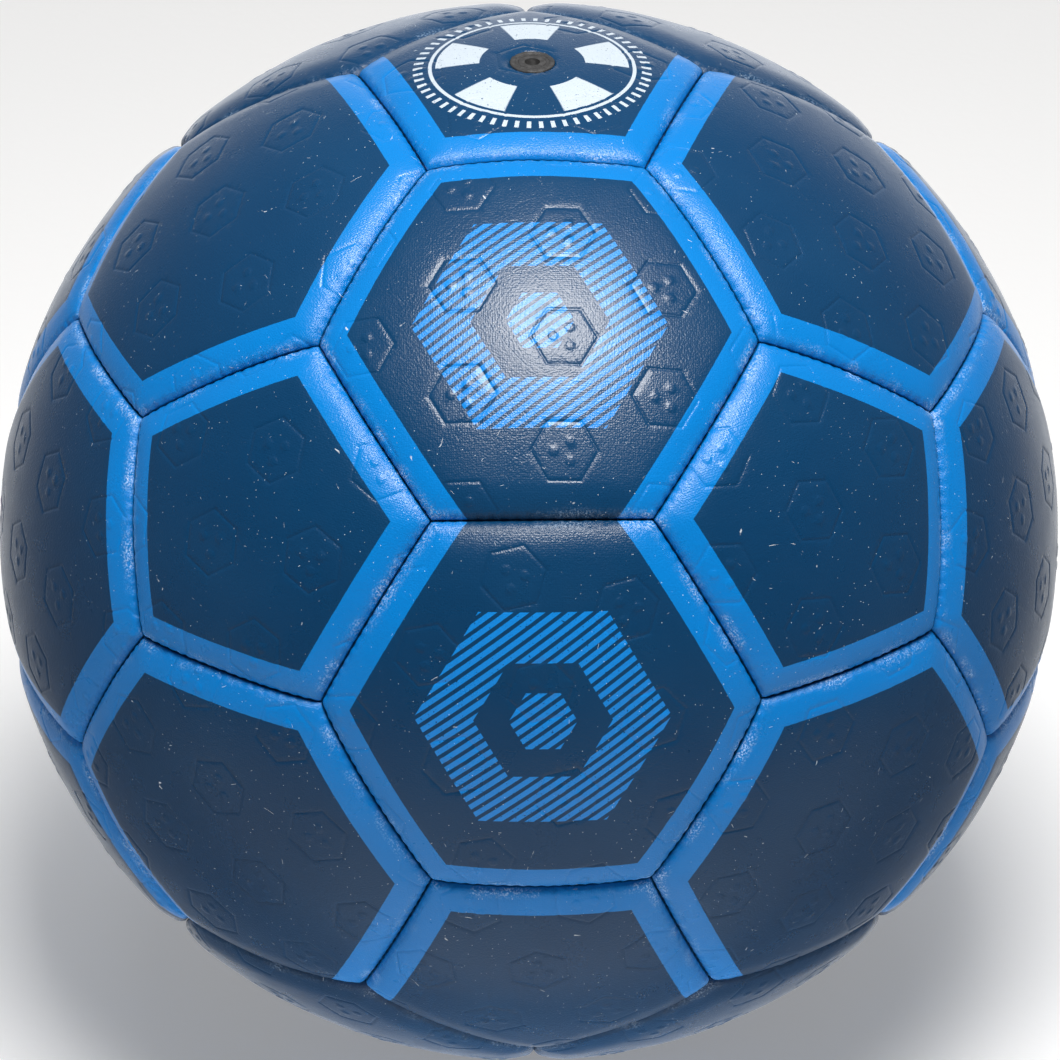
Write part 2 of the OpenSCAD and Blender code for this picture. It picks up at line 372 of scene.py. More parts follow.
def leather(name, colours, sizes, ink=None, ink_colour=None):
    """Coated leather: navy with a fine grain, a blue trim, scuffed rolls, dust and an optional print."""
    coat = Finish(name)
    flat, x, y, _ = coat.attribute("flat")
    seam, _, depth_in, trim_in = coat.attribute("seam")

    faded = coat.ramp(coat.noise(22 * MM, 4), 0.35, 0.75)
    paint = coat.blend(rgba(colours.navy), rgba(colours.navy_worn), faded)
    if ink:
        worn = coat.ramp(coat.noise(0.4 * MM, 3), 0.27, 0.36)
        paint = coat.blend(paint, rgba(ink_colour), coat.times(ink(coat, x, y), worn))
    ragged = coat.math("SUBTRACT", coat.noise(1.2 * MM, 2), 0.5)
    edge = coat.plus(trim_in, coat.times(ragged, TRIM_RAG))
    in_trim = coat.below(edge, sizes.trim_w / MM, TRIM_SOFT)
    trim = coat.blend(rgba(colours.trim), rgba(colours.trim, 0.86), coat.noise(12 * MM, 3))
    paint = coat.blend(paint, trim, in_trim)

    # Pale scuffs over the crown of the edge, painted shade down in the seam, dust over all of it
    scuff = scuffs(coat, depth_in, in_trim)
    paint = coat.blend(paint, rgba(colours.chafed), scuff)
    # Painted shade: a darker copy of the navy or the trim, blended in where the edge goes down into the
    # seam
    deep = coat.blend(rgba(colours.navy, 0.4), rgba(colours.trim, 0.16), in_trim)
    paint = coat.blend(paint, deep, coat.ramp(depth_in, 0.16, 0.32, 0.8, 0))
    dust = specks_and_lint(coat)
    paint = coat.blend(paint, DUST, dust)

    rough = coat.ramp(coat.noise(6 * MM, 4), 0.3, 0.8, 0.27, 0.32)
    rough = coat.plus(rough, coat.times(coat.plus(scuff, dust), 0.3))
    relief = leather_relief(coat, flat, seam, depth_in)
    return coat.surface(Base_Color=paint, Roughness=rough, Normal=relief, Specular_IOR_Level=0.5)


def rubber(name, base):
    """Moulded rubber, faintly mottled and dusty."""
    coat = Finish(name)
    dusty = coat.ramp(coat.noise(0.9 * MM, 4), 0.4, 0.75)
    mottled = coat.blend(rgba(base), rgba(base, 1.9), dusty)
    rough = coat.ramp(coat.noise(2 * MM, 2), 0.3, 0.7, 0.55, 0.75)
    relief = coat.bump(coat.noise(0.3 * MM, 4), 0.04 * MM)
    return coat.surface(Base_Color=mottled, Roughness=rough, Normal=relief)


def fibres(name, base, size, pale):
    """Cloth, foam or thread whose strands or pores have the given size."""
    coat = Finish(name)
    strands = coat.noise(size, 3, where=coat.stretched(1, 1, 0.35))
    shade = coat.blend(rgba(base), rgba(base, pale), coat.ramp(strands, 0.35, 0.7))
    relief = coat.bump(coat.plus(strands, coat.cells(size * 1.6)), size * 0.2)
    return coat.surface(Base_Color=shade, Roughness=0.8, Normal=relief)


def add_piece(context, name, mesh, finish):
    """Adds an object for a finished mesh, with its finish."""
    mesh.materials.append(finish)
    mesh.shade_smooth()
    piece = bpy.data.objects.new(name, mesh)
    context.scene.collection.objects.link(piece)
    return piece


# Panels


# Levels of a panel's points: its face, the two rows down its turned-in edge, and its inside
FACE, TURNED, HEM, INSIDE = range(4)
# While a panel is a flat net, its inside lies at this height, and the other levels at 0, -1 and -2
INSIDE_Z = -3
# Rows of the inside, from the turned-in edge: distance in from that edge's outer face, and depth
# below the ball's surface, both as shares of the edge's depth
INSIDE_SHARES = ((0.27, 1.0), (0.28, 0.66), (0.36, 0.47), (0.58, 0.34), (0.9, 0.30))
INSIDE_ROWS = 12
# Depth of the middle of the turned-in edge, in millimetres, as the lengths below are
TURNED_DEPTH = 3.1
# How far the edge rolls in before it goes straight down, as a share of the roll's radius
ROLL_SHARE = 0.87
# How sharply the falls towards two seams meet at a panel's corner
CORNER_POWER = 3
# How far from the seam a stitch pulls, and how the edge bulges at a stitch and more between stitches
STITCH_REACH = 0.8
BULGE = 0.02
BULGE_BETWEEN = 0.06
# Unevenness: of the fall towards the seams, of the padding, and of the leather near the seams
SWELL_WAVES = 14
FALL_SWELL = {"height": 0.12, "seed": 11, "size": 22}
PADDING_SWELL = {"height": 0.07, "seed": 5, "size": 26}
EDGE_SWELL = {"height": 0.025, "seed": 8, "size": 4.5}
EDGE_SWELL_REACH = 3
# The pips in a pressed hexagon, its line, and how far from a panel's middle it may be
PIP_R = 0.8
PIP_OUT = 1.75
GROOVE_W = 0.22
CELLS_REACH = 42
# How far round a pressed hexagon distances are measured, and what stands for any other
CELL_MARGIN = 2
FAR_OFF = 9.0
# To close rows up towards a seam, the way left to it becomes so much of its square and of itself
CLOSING_UP = 0.84, 0.16
# A pentagon is smaller than a hexagon, and has this share of its rows
PENTAGON_ROWS = 0.8
# Edges longer than this are halved near a pressed mark, so many times over
SHORT_EDGE = 0.28
HALVINGS = 3
# Share of the way to the seams over which the net's rows stop being round the hole
HOLE_FADE = 0.35
# The fall of the top panel's face round the valve, the depth of its edge's levels there as shares of
# the skin, and the share of the hole's width that the edge lies within
FALL_W = 0.8
FALL_D = 0.35
HOLE_SHARES = (0, 0.6, 1, 1)
HOLE_EDGE = 0.6
# Stands for the distance to a trimmed seam on a panel that has none
NO_TRIM = 99.0


def add_net(bm, sides, rows, height=0.0):
    """Adds a panel's outline, one unit from its middle to each seam, as rows of triangles."""
    made = bmesh.ops.create_circle(bm, cap_ends=True, radius=1, segments=2 * sides)["verts"]
    bmesh.ops.rotate(bm, verts=made, cent=(0, 0, 0), matrix=Matrix.Rotation(-math.pi / 2, 3, "Z"))
    for vert in made:
        step = round(math.atan2(vert.co.y, vert.co.x) / (math.pi / sides))
        if step % 2:
            vert.co /= math.cos(math.pi / sides)
        vert.co.z = height
    poked = bmesh.ops.poke(bm, faces=made[0].link_faces[:])["faces"]
    edges = dict.fromkeys(edge for face in poked for edge in face.edges)
    bmesh.ops.subdivide_edges(bm, edges=list(edges), cuts=rows - 1, use_grid_fill=True)


def share_out(xy, sides):
    """How far each point is from the middle of the net towards its nearest seam, from 0 to 1."""
    turns = np.arange(sides) * math.tau / sides
    return (xy @ np.stack([np.cos(turns), np.sin(turns)])).max(1)


def read_xyz(bm):
    return np.array([vert.co[:] for vert in bm.verts])


def write_xyz(bm, xyz):
    for vert, co in zip(bm.verts, xyz.tolist()):
        vert.co = co


def seam_reach(sizes, sides):
    """Flat distance from a panel's middle to its turned-in edge, on a plane one unit from the centre."""
    edge = EDGE_ANGLE[sides]
    return math.tan(edge) - sizes.seam_half / (sizes.ball_d / 2) / math.cos(edge) ** 2


def directions(sizes, sides, xy):
    """Unit directions from the middle of the ball through points of the net."""
    plane = xy * seam_reach(sizes, sides)
    towards = np.concatenate([plane, np.ones((len(plane), 1))], 1)
    return towards / np.linalg.norm(towards, axis=1)[:, None]


def laid_flat(sizes, towards):
    """Millimetres from the panel's middle, as if its leather lay flat."""
    across = np.linalg.norm(towards[:, :2], axis=1)
    angle = np.arctan2(across, towards[:, 2])
    scale = np.where(across > 1e-9, angle / np.maximum(across, 1e-9), 1.0)
    return towards[:, :2] * scale[:, None] * (sizes.ball_d / 2 / MM)


def cell_marks(name, sizes):
    """Middles and turn of the pressed hexagons on a panel, as if it were cut from a patterned sheet.

    The letters of its name give the place on the sheet. Four pairs of panels share theirs.
    """
    draw = np.random.RandomState(sum(map(ord, name)))
    pitch = sizes.cell_pitch / MM
    turn = draw.uniform(0, math.pi / 3)
    shift = draw.uniform(-0.5, 0.5, 2)
    spin = np.array([[math.cos(turn), -math.sin(turn)], [math.sin(turn), math.cos(turn)]])
    steps = [(i + shift[0] + 0.5 * (j % 2), (j + shift[1]) * math.sqrt(0.75))
             for i in range(-3, 4) for j in range(-3, 4)]
    spots = np.array(steps) * pitch @ spin.T
    return spots[np.linalg.norm(spots, axis=1) < CELLS_REACH], spin


def cell_distances(flat, name, sizes):
    """Distance to the nearest pressed line and to the nearest pip's middle, in flat millimetres."""
    spots, spin = cell_marks(name, sizes)
    half = sizes.cell_w / MM
    line = np.full(len(flat), FAR_OFF)
    pip = np.full(len(flat), FAR_OFF)
    turns = np.radians([0, 60, 120])
    across = np.stack([np.cos(turns), np.sin(turns)])
    pips = [(PIP_OUT * math.cos(turn), PIP_OUT * math.sin(turn)) for turn in np.radians([90, 210, 330])]
    for spot in spots:
        off = flat - spot
        near = np.abs(off).max(1) < half + CELL_MARGIN
        local = off[near] @ spin
        reach = np.abs(local @ across).max(1)
        line[near] = np.minimum(line[near], np.abs(reach - half))
        for middle in pips:
            pip[near] = np.minimum(pip[near], np.linalg.norm(local - middle, axis=1))
    return line, pip


def graded_net(sizes, name, rows, fine):
    """A flat net of a panel, closer towards the seams and along the pressed lines."""
    sides = PANELS[name][0]
    bm = bmesh.new()
    add_net(bm, sides, rows)
    xyz = read_xyz(bm)
    share = share_out(xyz[:, :2], sides)
    left = 1 - share
    graded = 1 - (CLOSING_UP[0] * left**2 + CLOSING_UP[1] * left)
    xyz[:, :2] *= (graded / np.maximum(share, 1e-9))[:, None]
    write_xyz(bm, xyz)
    if name == VALVE_PANEL:
        open_hole(bm, sizes, sides)
    if fine:
        for _ in range(HALVINGS):
            if not split_near_marks(bm, sizes, name, sides):
                break
        bmesh.ops.triangulate(bm, faces=[face for face in bm.faces if len(face.verts) > 3])
    return bm


def split_near_marks(bm, sizes, name, sides):
    """Halves the edges that are too long to carry the pressed lines and pips."""
    bm.verts.index_update()
    edges = bm.edges[:]
    ends = np.array([[edge.verts[0].index, edge.verts[1].index] for edge in edges])
    flat = laid_flat(sizes, directions(sizes, sides, read_xyz(bm)[:, :2]))
    start, end = flat[ends[:, 0]], flat[ends[:, 1]]
    line, pip = cell_distances((start + end) / 2, name, sizes)
    size = np.linalg.norm(start - end, axis=1)
    close = (line < 0.30 + size * 0.3) | (pip < PIP_R + 0.1 + size * 0.2)
    chosen = [edges[i] for i in np.flatnonzero(close & (size > SHORT_EDGE))]
    if chosen:
        bmesh.ops.subdivide_edges(bm, edges=chosen, cuts=1, use_grid_fill=True)
    return len(chosen)


def open_hole(bm, sizes, sides):
    """Cuts the valve's hole in the middle of the top panel's net and makes it round."""
    hole = math.tan(sizes.hole_d / sizes.ball_d) / seam_reach(sizes, sides)
    xyz = read_xyz(bm)
    share = share_out(xyz[:, :2], sides)
    levels = np.unique(np.round(share, 5))
    start = levels[np.argmin(np.abs(levels - hole))]
    radius = np.linalg.norm(xyz[:, :2], axis=1)
    ring = start * radius / np.maximum(share, 1e-9)
    fade = np.clip((share - start) / HOLE_FADE, 0, 1)
    shift = (hole - ring) * (1 - fade * fade * (3 - 2 * fade))
    xyz[:, :2] *= ((radius + shift) / np.maximum(radius, 1e-9))[:, None]
    write_xyz(bm, xyz)
    gone = [vert for vert, part in zip(bm.verts[:], share) if part < start - 1e-4]
    bmesh.ops.delete(bm, geom=gone, context="VERTS")


def is_inside(vert):
    """Whether a point of the flat net belongs to the panel's inside."""
    return vert.co.z < INSIDE_Z + 0.5


def border(bm, inside=False):
    """Edges of the open border of the face or of the inside, split into its outline and its hole."""
    edges = [edge for edge in bm.edges if edge.is_boundary and is_inside(edge.verts[0]) == inside]
    outer = [edge for edge in edges if edge.verts[0].co.xy.length > 0.5]
    return outer, [edge for edge in edges if edge.verts[0].co.xy.length <= 0.5]


def closed_panel(sizes, name, rows, fine):
    """A panel's net with its turned-in edge and its inside, as one closed shell, still flat."""
    sides = PANELS[name][0]
    bm = graded_net(sizes, name, rows, fine)
    level = bm.verts.layers.int.new("level")
    for step in (TURNED, HEM):
        outer, hole = border(bm)
        made = bmesh.ops.extrude_edge_only(bm, edges=outer + hole)["geom"]
        for item in made:
            if isinstance(item, bmesh.types.BMVert):
                item[level] = step
                item.co.z = -step
    outer_low, hole_low = border(bm)
    add_net(bm, sides, INSIDE_ROWS, height=INSIDE_Z)
    if name == VALVE_PANEL:
        hole_inside(bm, sizes, sides)
    for vert in bm.verts:
        if is_inside(vert):
            vert[level] = INSIDE
    bmesh.ops.reverse_faces(bm, faces=[face for face in bm.faces if is_inside(face.verts[0])])
    outer_in, hole_in = border(bm, inside=True)
    bmesh.ops.bridge_loops(bm, edges=outer_low + outer_in)
    if hole_in:
        bmesh.ops.bridge_loops(bm, edges=hole_low + hole_in)
    bmesh.ops.triangulate(bm, faces=[face for face in bm.faces if len(face.verts) > 3])
    return bm


def hole_inside(bm, sizes, sides):
    """Opens the inside of the top panel round the valve."""
    inside = [vert for vert in bm.verts if is_inside(vert)]
    hole = math.tan(sizes.hole_d / sizes.ball_d) / seam_reach(sizes, sides)
    xy = np.array([vert.co.xy[:] for vert in inside])
    share = share_out(xy, sides)
    step = 1 / INSIDE_ROWS
    start = max(step, round(hole / step) * step)
    for vert, part in zip(inside, share):
        if abs(part - start) < step / 4:
            vert.co.xy *= hole / vert.co.xy.length
    gone = [vert for vert, part in zip(inside, share) if part < start - step / 4]
    bmesh.ops.delete(bm, geom=gone, context="VERTS")


def swell(spots, height, seed, size):
    """Slow unevenness up to about the height: a sum of seeded waves whose length is about the size."""
    draw = np.random.RandomState(seed)
    total = np.zeros(len(spots))
    for _ in range(SWELL_WAVES):
        axis = draw.normal(size=3)
        axis *= draw.uniform(0.7, 1.6) / np.linalg.norm(axis)
        total += np.sin(spots @ axis * math.tau / size + draw.uniform(0, math.tau))
    return height * (total / math.sqrt(SWELL_WAVES) / 1.5)


def inside_rows(sizes, sides, share, inside):
    """Distance in from the seams and depth of the points of a panel's inside, in millimetres."""
    edge_depth = sizes.edge_depth / MM
    inset = np.zeros(len(share))
    depth = np.full(len(share), sizes.skin_t / MM)
    for row, (inset_share, depth_share) in enumerate(INSIDE_SHARES):
        here = inside & (np.abs(share - (1 - row / INSIDE_ROWS)) < 0.5 / INSIDE_ROWS)
        inset[here] = inset_share * edge_depth
        depth[here] = depth_share * edge_depth
    return inset, depth


def shaped(sizes, name, xy, level):
    """Places the net's points on the ball, in millimetres about the ball's middle, panel about +Z."""
    sides, turn = PANELS[name]
    radius = sizes.ball_d / 2 / MM
    half = sizes.seam_half / MM
    skin_t = sizes.skin_t / MM
    hole_d = sizes.hole_d / MM
    share = share_out(xy, sides)
    inside = level == INSIDE
    inset, inside_depth = inside_rows(sizes, sides, share, inside)
    reach = seam_reach(sizes, sides) * radius
    moved = np.where(inside & (inset > 0), (1 - inset / reach) / np.maximum(share, 1e-9), 1.0)
    towards = directions(sizes, sides, xy * moved[:, None])
    flat = laid_flat(sizes, towards)
    normals, along = seam_frames(sides)
    from_seam = -(towards @ normals.T) * radius
    on_seam = towards @ along.T * radius
    spots = towards @ turn.T * radius

    # The fall of the face towards each seam, its rolled edge and the pull of the stitches
    roll, wide = sizes.roll_r / MM, sizes.pillow_w / MM
    uneven = 1 + swell(spots, **FALL_SWELL)
    pillow = sizes.pillow_d / MM * np.clip(1 - from_seam / wide, 0, 1) ** 2 * uneven[:, None]
    rolled = np.clip(roll * ROLL_SHARE + half - from_seam, 0, roll * ROLL_SHARE)
    drop = pillow + roll - np.sqrt(roll**2 - rolled**2)
    depth = (drop**CORNER_POWER).sum(1) ** (1 / CORNER_POWER)
    pull = 0.5 + 0.5 * np.cos(math.tau * on_seam / (sizes.stitch / MM))
    close = np.exp(-(((from_seam - half) / STITCH_REACH) ** 2))
    depth += (pull * close).max(1) * sizes.pucker / MM
    depth += swell(spots, **PADDING_SWELL)
    depth += swell(spots, **EDGE_SWELL) * np.exp(-((from_seam.min(1) / EDGE_SWELL_REACH) ** 2))

    # The pressed hexagons: their lines go down and their pips stand up
    groove = sizes.groove_d / MM
    line, pip = cell_distances(flat, name, sizes)
    pips = groove * np.sqrt(np.clip(1 - (pip / PIP_R) ** 2, 0, 1))
    depth += groove * np.exp(-((line / GROOVE_W) ** 2)) - pips

    depth[level == TURNED] = TURNED_DEPTH
    depth[level == HEM] = sizes.edge_depth / MM
    depth[inside] = inside_depth[inside]
    if name == VALVE_PANEL:
        from_middle = np.linalg.norm(flat, axis=1)
        at_hole = (from_middle < hole_d * HOLE_EDGE) & (level > FACE)
        depth[at_hole] = skin_t * np.array(HOLE_SHARES)[level[at_hole]]
        fall = np.clip((hole_d / 2 + FALL_W - from_middle) / FALL_W, 0, 1)
        depth[level == FACE] += (FALL_D * fall**2)[level == FACE]
    points = towards * (radius - depth)[:, None]

    # The edge bulges over the seam, most between stitches
    bulge = (BULGE + BULGE_BETWEEN * (1 - pull)) * close
    bulge[level > TURNED] = 0
    points += (bulge[:, :, None] * normals[None]).sum(1)
    return points, flat, from_seam, on_seam


def panel_mesh(sizes, name, rows, fine):
    """The finished mesh of one panel, in metres, with two attributes for its finish.

    flat is the place on the leather laid flat, in millimetres. seam is the way along the nearest seam
    in metres, then the ways in from that seam and from the nearest trimmed one in millimetres.
    """
    sides, turn = PANELS[name]
    bm = closed_panel(sizes, name, rows, fine)
    mesh = bpy.data.meshes.new(f"panel_{name}")
    bm.to_mesh(mesh)
    bm.free()
    count = len(mesh.vertices)
    co = np.empty(count * 3)
    mesh.vertices.foreach_get("co", co)
    level = np.empty(count, np.int32)
    mesh.attributes["level"].data.foreach_get("value", level)
    points, flat, from_seam, on_seam = shaped(sizes, name, co.reshape(-1, 3)[:, :2], level)
    mesh.vertices.foreach_set("co", (points @ turn.T * MM).ravel())
    nearest = from_seam.argmin(1)
    across = from_seam.min(1)
    trimmed = [has_trim(name, other) for other in neighbours(name)]
    trim_in = from_seam[:, trimmed].min(1) if any(trimmed) else np.full(count, NO_TRIM)
    for label, columns in (
        ("flat", (flat[:, 0], flat[:, 1], np.zeros(count))),
        ("seam", (on_seam[np.arange(count), nearest] * MM, across, trim_in)),
    ):
        layer = mesh.attributes.new(label, "FLOAT_VECTOR", "POINT")
        layer.data.foreach_set("vector", np.stack(columns, 1).ravel())
    mesh.attributes.remove(mesh.attributes["level"])
    mesh.update()
    return mesh


def make_panels(context, shape, ink, ink_colour):
    """Makes the panels of one shape and puts each in the place of its skin."""
    sizes, colours = context.scene.handball_sizes, context.scene.handball_colours
    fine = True
    rows = sizes.rows if fine else sizes.rows // 2
    plain = leather(f"{shape}_leather", colours, sizes)
    printed = leather(f"{shape}_printed_leather", colours, sizes, ink, ink_colour)
    for name, (sides, _) in PANELS.items():
        if not name.startswith(shape):
            continue
        count = rows if sides == 6 else round(rows * PENTAGON_ROWS)
        finish = printed if name in PRINTED or name == VALVE_PANEL else plain
        panel = add_piece(context, f"panel_{name}", panel_mesh(sizes, name, count, fine), finish)
        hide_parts(f"skin_{name}")
        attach(panel, "root")


# Thread, valve and inner layers


# All in millimetres: how deep the thread lies, how far it ends from a seam's end, and its zigzag
THREAD_DEPTH = 2.6
THREAD_END = 0.6
THREAD_SWING = 0.25
THREAD_RISE = 0.35
THREAD_SINK = 0.2
# Points of the thread in each stitch
STITCH_POINTS = 4

# The lip round the valve's face: out from the hole's edge and up from its base, then the heights
# of its inner wall, how far that wall is in from the edge of the face, and how deep the base is
LIP_OUTSIDE = ((0, -0.5), (0.02, -0.12), (-0.08, 0.03), (-0.3, 0.08), (-0.55, 0.06))
LIP_INSIDE = (0.02, -0.5)
LIP_LAP = 0.7
LIP_BASE = 0.18
# Its raggedness as waves round the valve: height, number of waves and turn
LIP_WAVES = ((0.05, 7, 1), (0.04, 17, 0), (0.03, 31, 2))


def seam_runs():
    """Each seam once: its two panels, its middle, its direction and its normal, on the unit ball."""
    runs = []
    for name, (sides, turn) in PANELS.items():
        normals, along = seam_frames(sides)
        for k, other in enumerate(neighbours(name)):
            if name < other:
                middle = turn @ seam_middle(sides, k)
                runs.append((name, other, middle, turn @ along[k], turn @ normals[k]))
    return runs


def sew(context, name, runs, node, finish):
    """One object of thread that zigzags along each of the given seams."""
    sizes = context.scene.handball_sizes
    curve = bpy.data.curves.new(name, "CURVE")
    curve.dimensions = "3D"
    curve.bevel_depth = sizes.thread_d / 2
    curve.bevel_resolution = 1
    curve.use_fill_caps = True
    radius = sizes.ball_d / 2 - THREAD_DEPTH * MM
    reach = HALF_SEAM * radius - THREAD_END * MM
    steps = int(reach / (sizes.stitch / STITCH_POINTS))
    places = [k * sizes.stitch / STITCH_POINTS for k in range(-steps, steps + 1)]
    for _, _, middle, along, normal in runs:
        spline = curve.splines.new("POLY")
        spline.points.add(len(places) - 1)
        for point, place in zip(spline.points, places):
            angle = place / radius
            side = math.sin(math.tau * place / sizes.stitch / 2 + math.pi / 2)
            out = radius + THREAD_RISE * MM * side**2 - THREAD_SINK * MM
            towards = middle * math.cos(angle) + along * math.sin(angle)
            point.co = (*(towards * out + normal * side * THREAD_SWING * MM), 1)
    holder = bpy.data.objects.new(name + "_path", curve)
    context.scene.collection.objects.link(holder)
    context.view_layer.update()
    mesh = bpy.data.meshes.new_from_object(holder.evaluated_get(context.evaluated_depsgraph_get()))
    bpy.data.objects.remove(holder)
    bpy.data.curves.remove(curve)
    bm = bmesh.new()
    bm.from_mesh(mesh)
    bmesh.ops.remove_doubles(bm, verts=bm.verts[:], dist=1e-7)
    bmesh.ops.recalc_face_normals(bm, faces=bm.faces[:])
    bm.to_mesh(mesh)
    bm.free()
    mesh.name = name
    mesh.materials.clear()
    thread = add_piece(context, name, mesh, finish)
    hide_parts(node)
    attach(thread, "root")


def valve_rim(context, finish):
    """The thin, ragged lip of rubber that stands round the valve's face."""
    sizes = context.scene.handball_sizes
    top = sizes.ball_d / 2 - LIP_BASE * MM
    profile = [(sizes.hole_d / 2 + out * MM, height) for out, height in LIP_OUTSIDE]
    profile += [(sizes.valve_d / 2 - LIP_LAP * MM, height) for height in LIP_INSIDE]
    bm = bmesh.new()
    ring = bmesh.ops.create_circle(bm, radius=1, segments=120)["verts"]
    first = bm.edges[:]
    for vert in ring:
        vert.co *= profile[0][0]
        vert.co.z = top + profile[0][1] * MM
    edges = first
    for radius, height in profile[1:]:
        made = bmesh.ops.extrude_edge_only(bm, edges=edges)["geom"]
        edges = [item for item in made if isinstance(item, bmesh.types.BMEdge)]
        for vert in (item for item in made if isinstance(item, bmesh.types.BMVert)):
            turn = math.atan2(vert.co.y, vert.co.x)
            rag = sum(tall * math.sin(waves * turn + shift) for tall, waves, shift in LIP_WAVES)
            # Only what stands above the base is ragged
            part = radius + (rag * MM if height > 0 else 0)
            vert.co.x, vert.co.y = part * math.cos(turn), part * math.sin(turn)
            vert.co.z = top + (height + (rag * 0.6 if height > 0.05 else 0)) * MM
    bmesh.ops.bridge_loops(bm, edges=first + edges)
    bmesh.ops.recalc_face_normals(bm, faces=bm.faces[:])
    mesh = bpy.data.meshes.new("valve_rim")
    bm.to_mesh(mesh)
    bm.free()
    rim = add_piece(context, "valve_rim", mesh, finish)
    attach(rim, "root")


class HANDBALL_OT_pentagons(bpy.types.Operator):
    """Make the twelve pentagonal panels, one of them round the valve"""

    bl_idname = "handball.pentagons"
    bl_label = "Pentagon panels"

    def execute(self, context):
        make_panels(context, "pentagon", valve_ring, context.scene.handball_colours.white)
        return {"FINISHED"}


class HANDBALL_OT_hexagons(bpy.types.Operator):
    """Make the twenty hexagonal panels"""

    bl_idname = "handball.hexagons"
    bl_label = "Hexagon panels"

    def execute(self, context):
        make_panels(context, "hexagon", hatched_ring, context.scene.handball_colours.hatch)
        return {"FINISHED"}


class HANDBALL_OT_thread(bpy.types.Operator):
    """Sew the panels together along their 90 seams"""

    bl_idname = "handball.thread"
    bl_label = "Sewing thread"

    def execute(self, context):
        finish = fibres("waxed_thread", context.scene.handball_colours.thread, 0.2 * MM, 2.0)
        alike, mixed = [], []
        for run in seam_runs():
            shapes = {name.split("_")[0] for name in run[:2]}
            (mixed if len(shapes) == 2 else alike).append(run)
        if len(mixed) != 60 or len(alike) != 30:
            raise RuntimeError("the panels don't meet along 60 and 30 seams")
        sew(context, "thread_round_pentagons", mixed, "thread_pentagon_seams", finish)
        sew(context, "thread_between_hexagons", alike, "thread_hexagon_seams", finish)
        return {"FINISHED"}


class HANDBALL_OT_valve(bpy.types.Operator):
    """Finish the rubber valve and add the lip round its face"""

    bl_idname = "handball.valve"
    bl_label = "Valve"

    def execute(self, context):
        finish = rubber("valve_rubber", context.scene.handball_colours.rubber)
        for node in ("valve_body", "valve_plug"):
            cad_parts[node].material_slots[0].material = finish
        valve_rim(context, finish)
        return {"FINISHED"}


class HANDBALL_OT_inside(bpy.types.Operator):
    """Finish the foam, the lining and the bladder under the panels"""

    bl_idname = "handball.inside"
    bl_label = "Foam, lining and bladder"

    def execute(self, context):
        colours = context.scene.handball_colours
        finishes = {"bladder": rubber("bladder_rubber", colours.bladder)}
        for shape in ("pentagons", "hexagons"):
            finishes[f"foam_{shape}"] = fibres(f"foam_of_{shape}", colours.foam, 0.8 * MM, 1.3)
            finishes[f"lining_{shape}"] = fibres(f"lining_of_{shape}", colours.lining, 0.6 * MM, 1.4)
        for node, finish in finishes.items():
            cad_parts[node].material_slots[0].material = finish
        return {"FINISHED"}


class HANDBALL_OT_stage(bpy.types.Operator):
    """Set the floor, the lights and the camera"""

    bl_idname = "handball.stage"
    bl_label = "Stage"

    def execute(self, context):
        radius = context.scene.handball_sizes.ball_d / 2
        make_floor(context, radius)
        make_lights(context)
        make_studio(context)
        make_camera(context, radius)
        return {"FINISHED"}


# Stage


# The photograph's own axes in the row's frame: right, up and towards the camera
TILT = PENTAGON_TO_PENTAGON / 2
PHOTO_AXES = Matrix((
    (1, 0, 0),
    (0, math.sin(TILT), -math.cos(TILT)),
    (0, math.cos(TILT), math.sin(TILT)),
))

# The floor: half its width, its gap under the ball, and the light that it adds so that it stays pale
FLOOR_HALF = 4
FLOOR_GAP = 0.1 * MM
FLOOR_GLOW = 0.26

# Lamps on the floor that shine up, for what the leather mirrors of the lit floor in front, and the
# light from under it: name, shape, place along Y, width, depth, power, mirrored only or lighting only
DOWN = (0.0, -0.85, -0.526)
FLOOR_DISTANCE = 0.087
FLOOR_LIGHTS = (
    ("floor_sheen", "RECTANGLE", -0.20, 0.44, 0.24, 0.095, True),
    ("floor_glow", "ELLIPSE", -0.18, 0.20, 0.20, 0.018, True),
    ("floor_bounce", "RECTANGLE", -0.06, 0.10, 0.05, 0.030, False),
)

# The direction in which the studio is brightest, its wall's strength on the camera's side and behind,
# and the strength and sharpness of a glow behind
BEHIND = (0.06, 0.954, -0.3)
WALL = 0.02, 0.16
GLOW = 1.5
GLOW_POWER = 5

# The camera: its distance in ball radii, its small turn off the photograph's axes in degrees, and
# in pixels the picture's side, the ball's radius in it and how far the ball is off its middle
CAMERA_DISTANCE = 15
CAMERA_TURN = Vector((-1.15, 1.38, 0.43))
PICTURE_SIDE = 1060
PICTURE_RADIUS = 529.2
PICTURE_SHIFT = 1.0, 1.2


def make_floor(context, radius):
    """A wide pale floor that the ball rests on, and that the leather doesn't mirror."""
    coat = Finish("pale_floor")
    shade = coat.blend((0.78, 0.785, 0.79, 1), (0.82, 0.825, 0.83, 1), coat.noise(0.3, 3))
    relief = coat.bump(coat.noise(2 * MM, 3), 0.05 * MM)
    finish = coat.surface(Base_Color=shade, Roughness=0.9, Normal=relief,
                          Emission_Color=(1, 1, 1, 1), Emission_Strength=FLOOR_GLOW)
    bm = bmesh.new()
    bmesh.ops.create_grid(bm, x_segments=8, y_segments=8, size=FLOOR_HALF)
    bmesh.ops.translate(bm, verts=bm.verts[:], vec=(0, 0, -radius - FLOOR_GAP))
    mesh = bpy.data.meshes.new("floor")
    bm.to_mesh(mesh)
    bm.free()
    floor = add_piece(context, "floor", mesh, finish)
    floor.visible_glossy = False


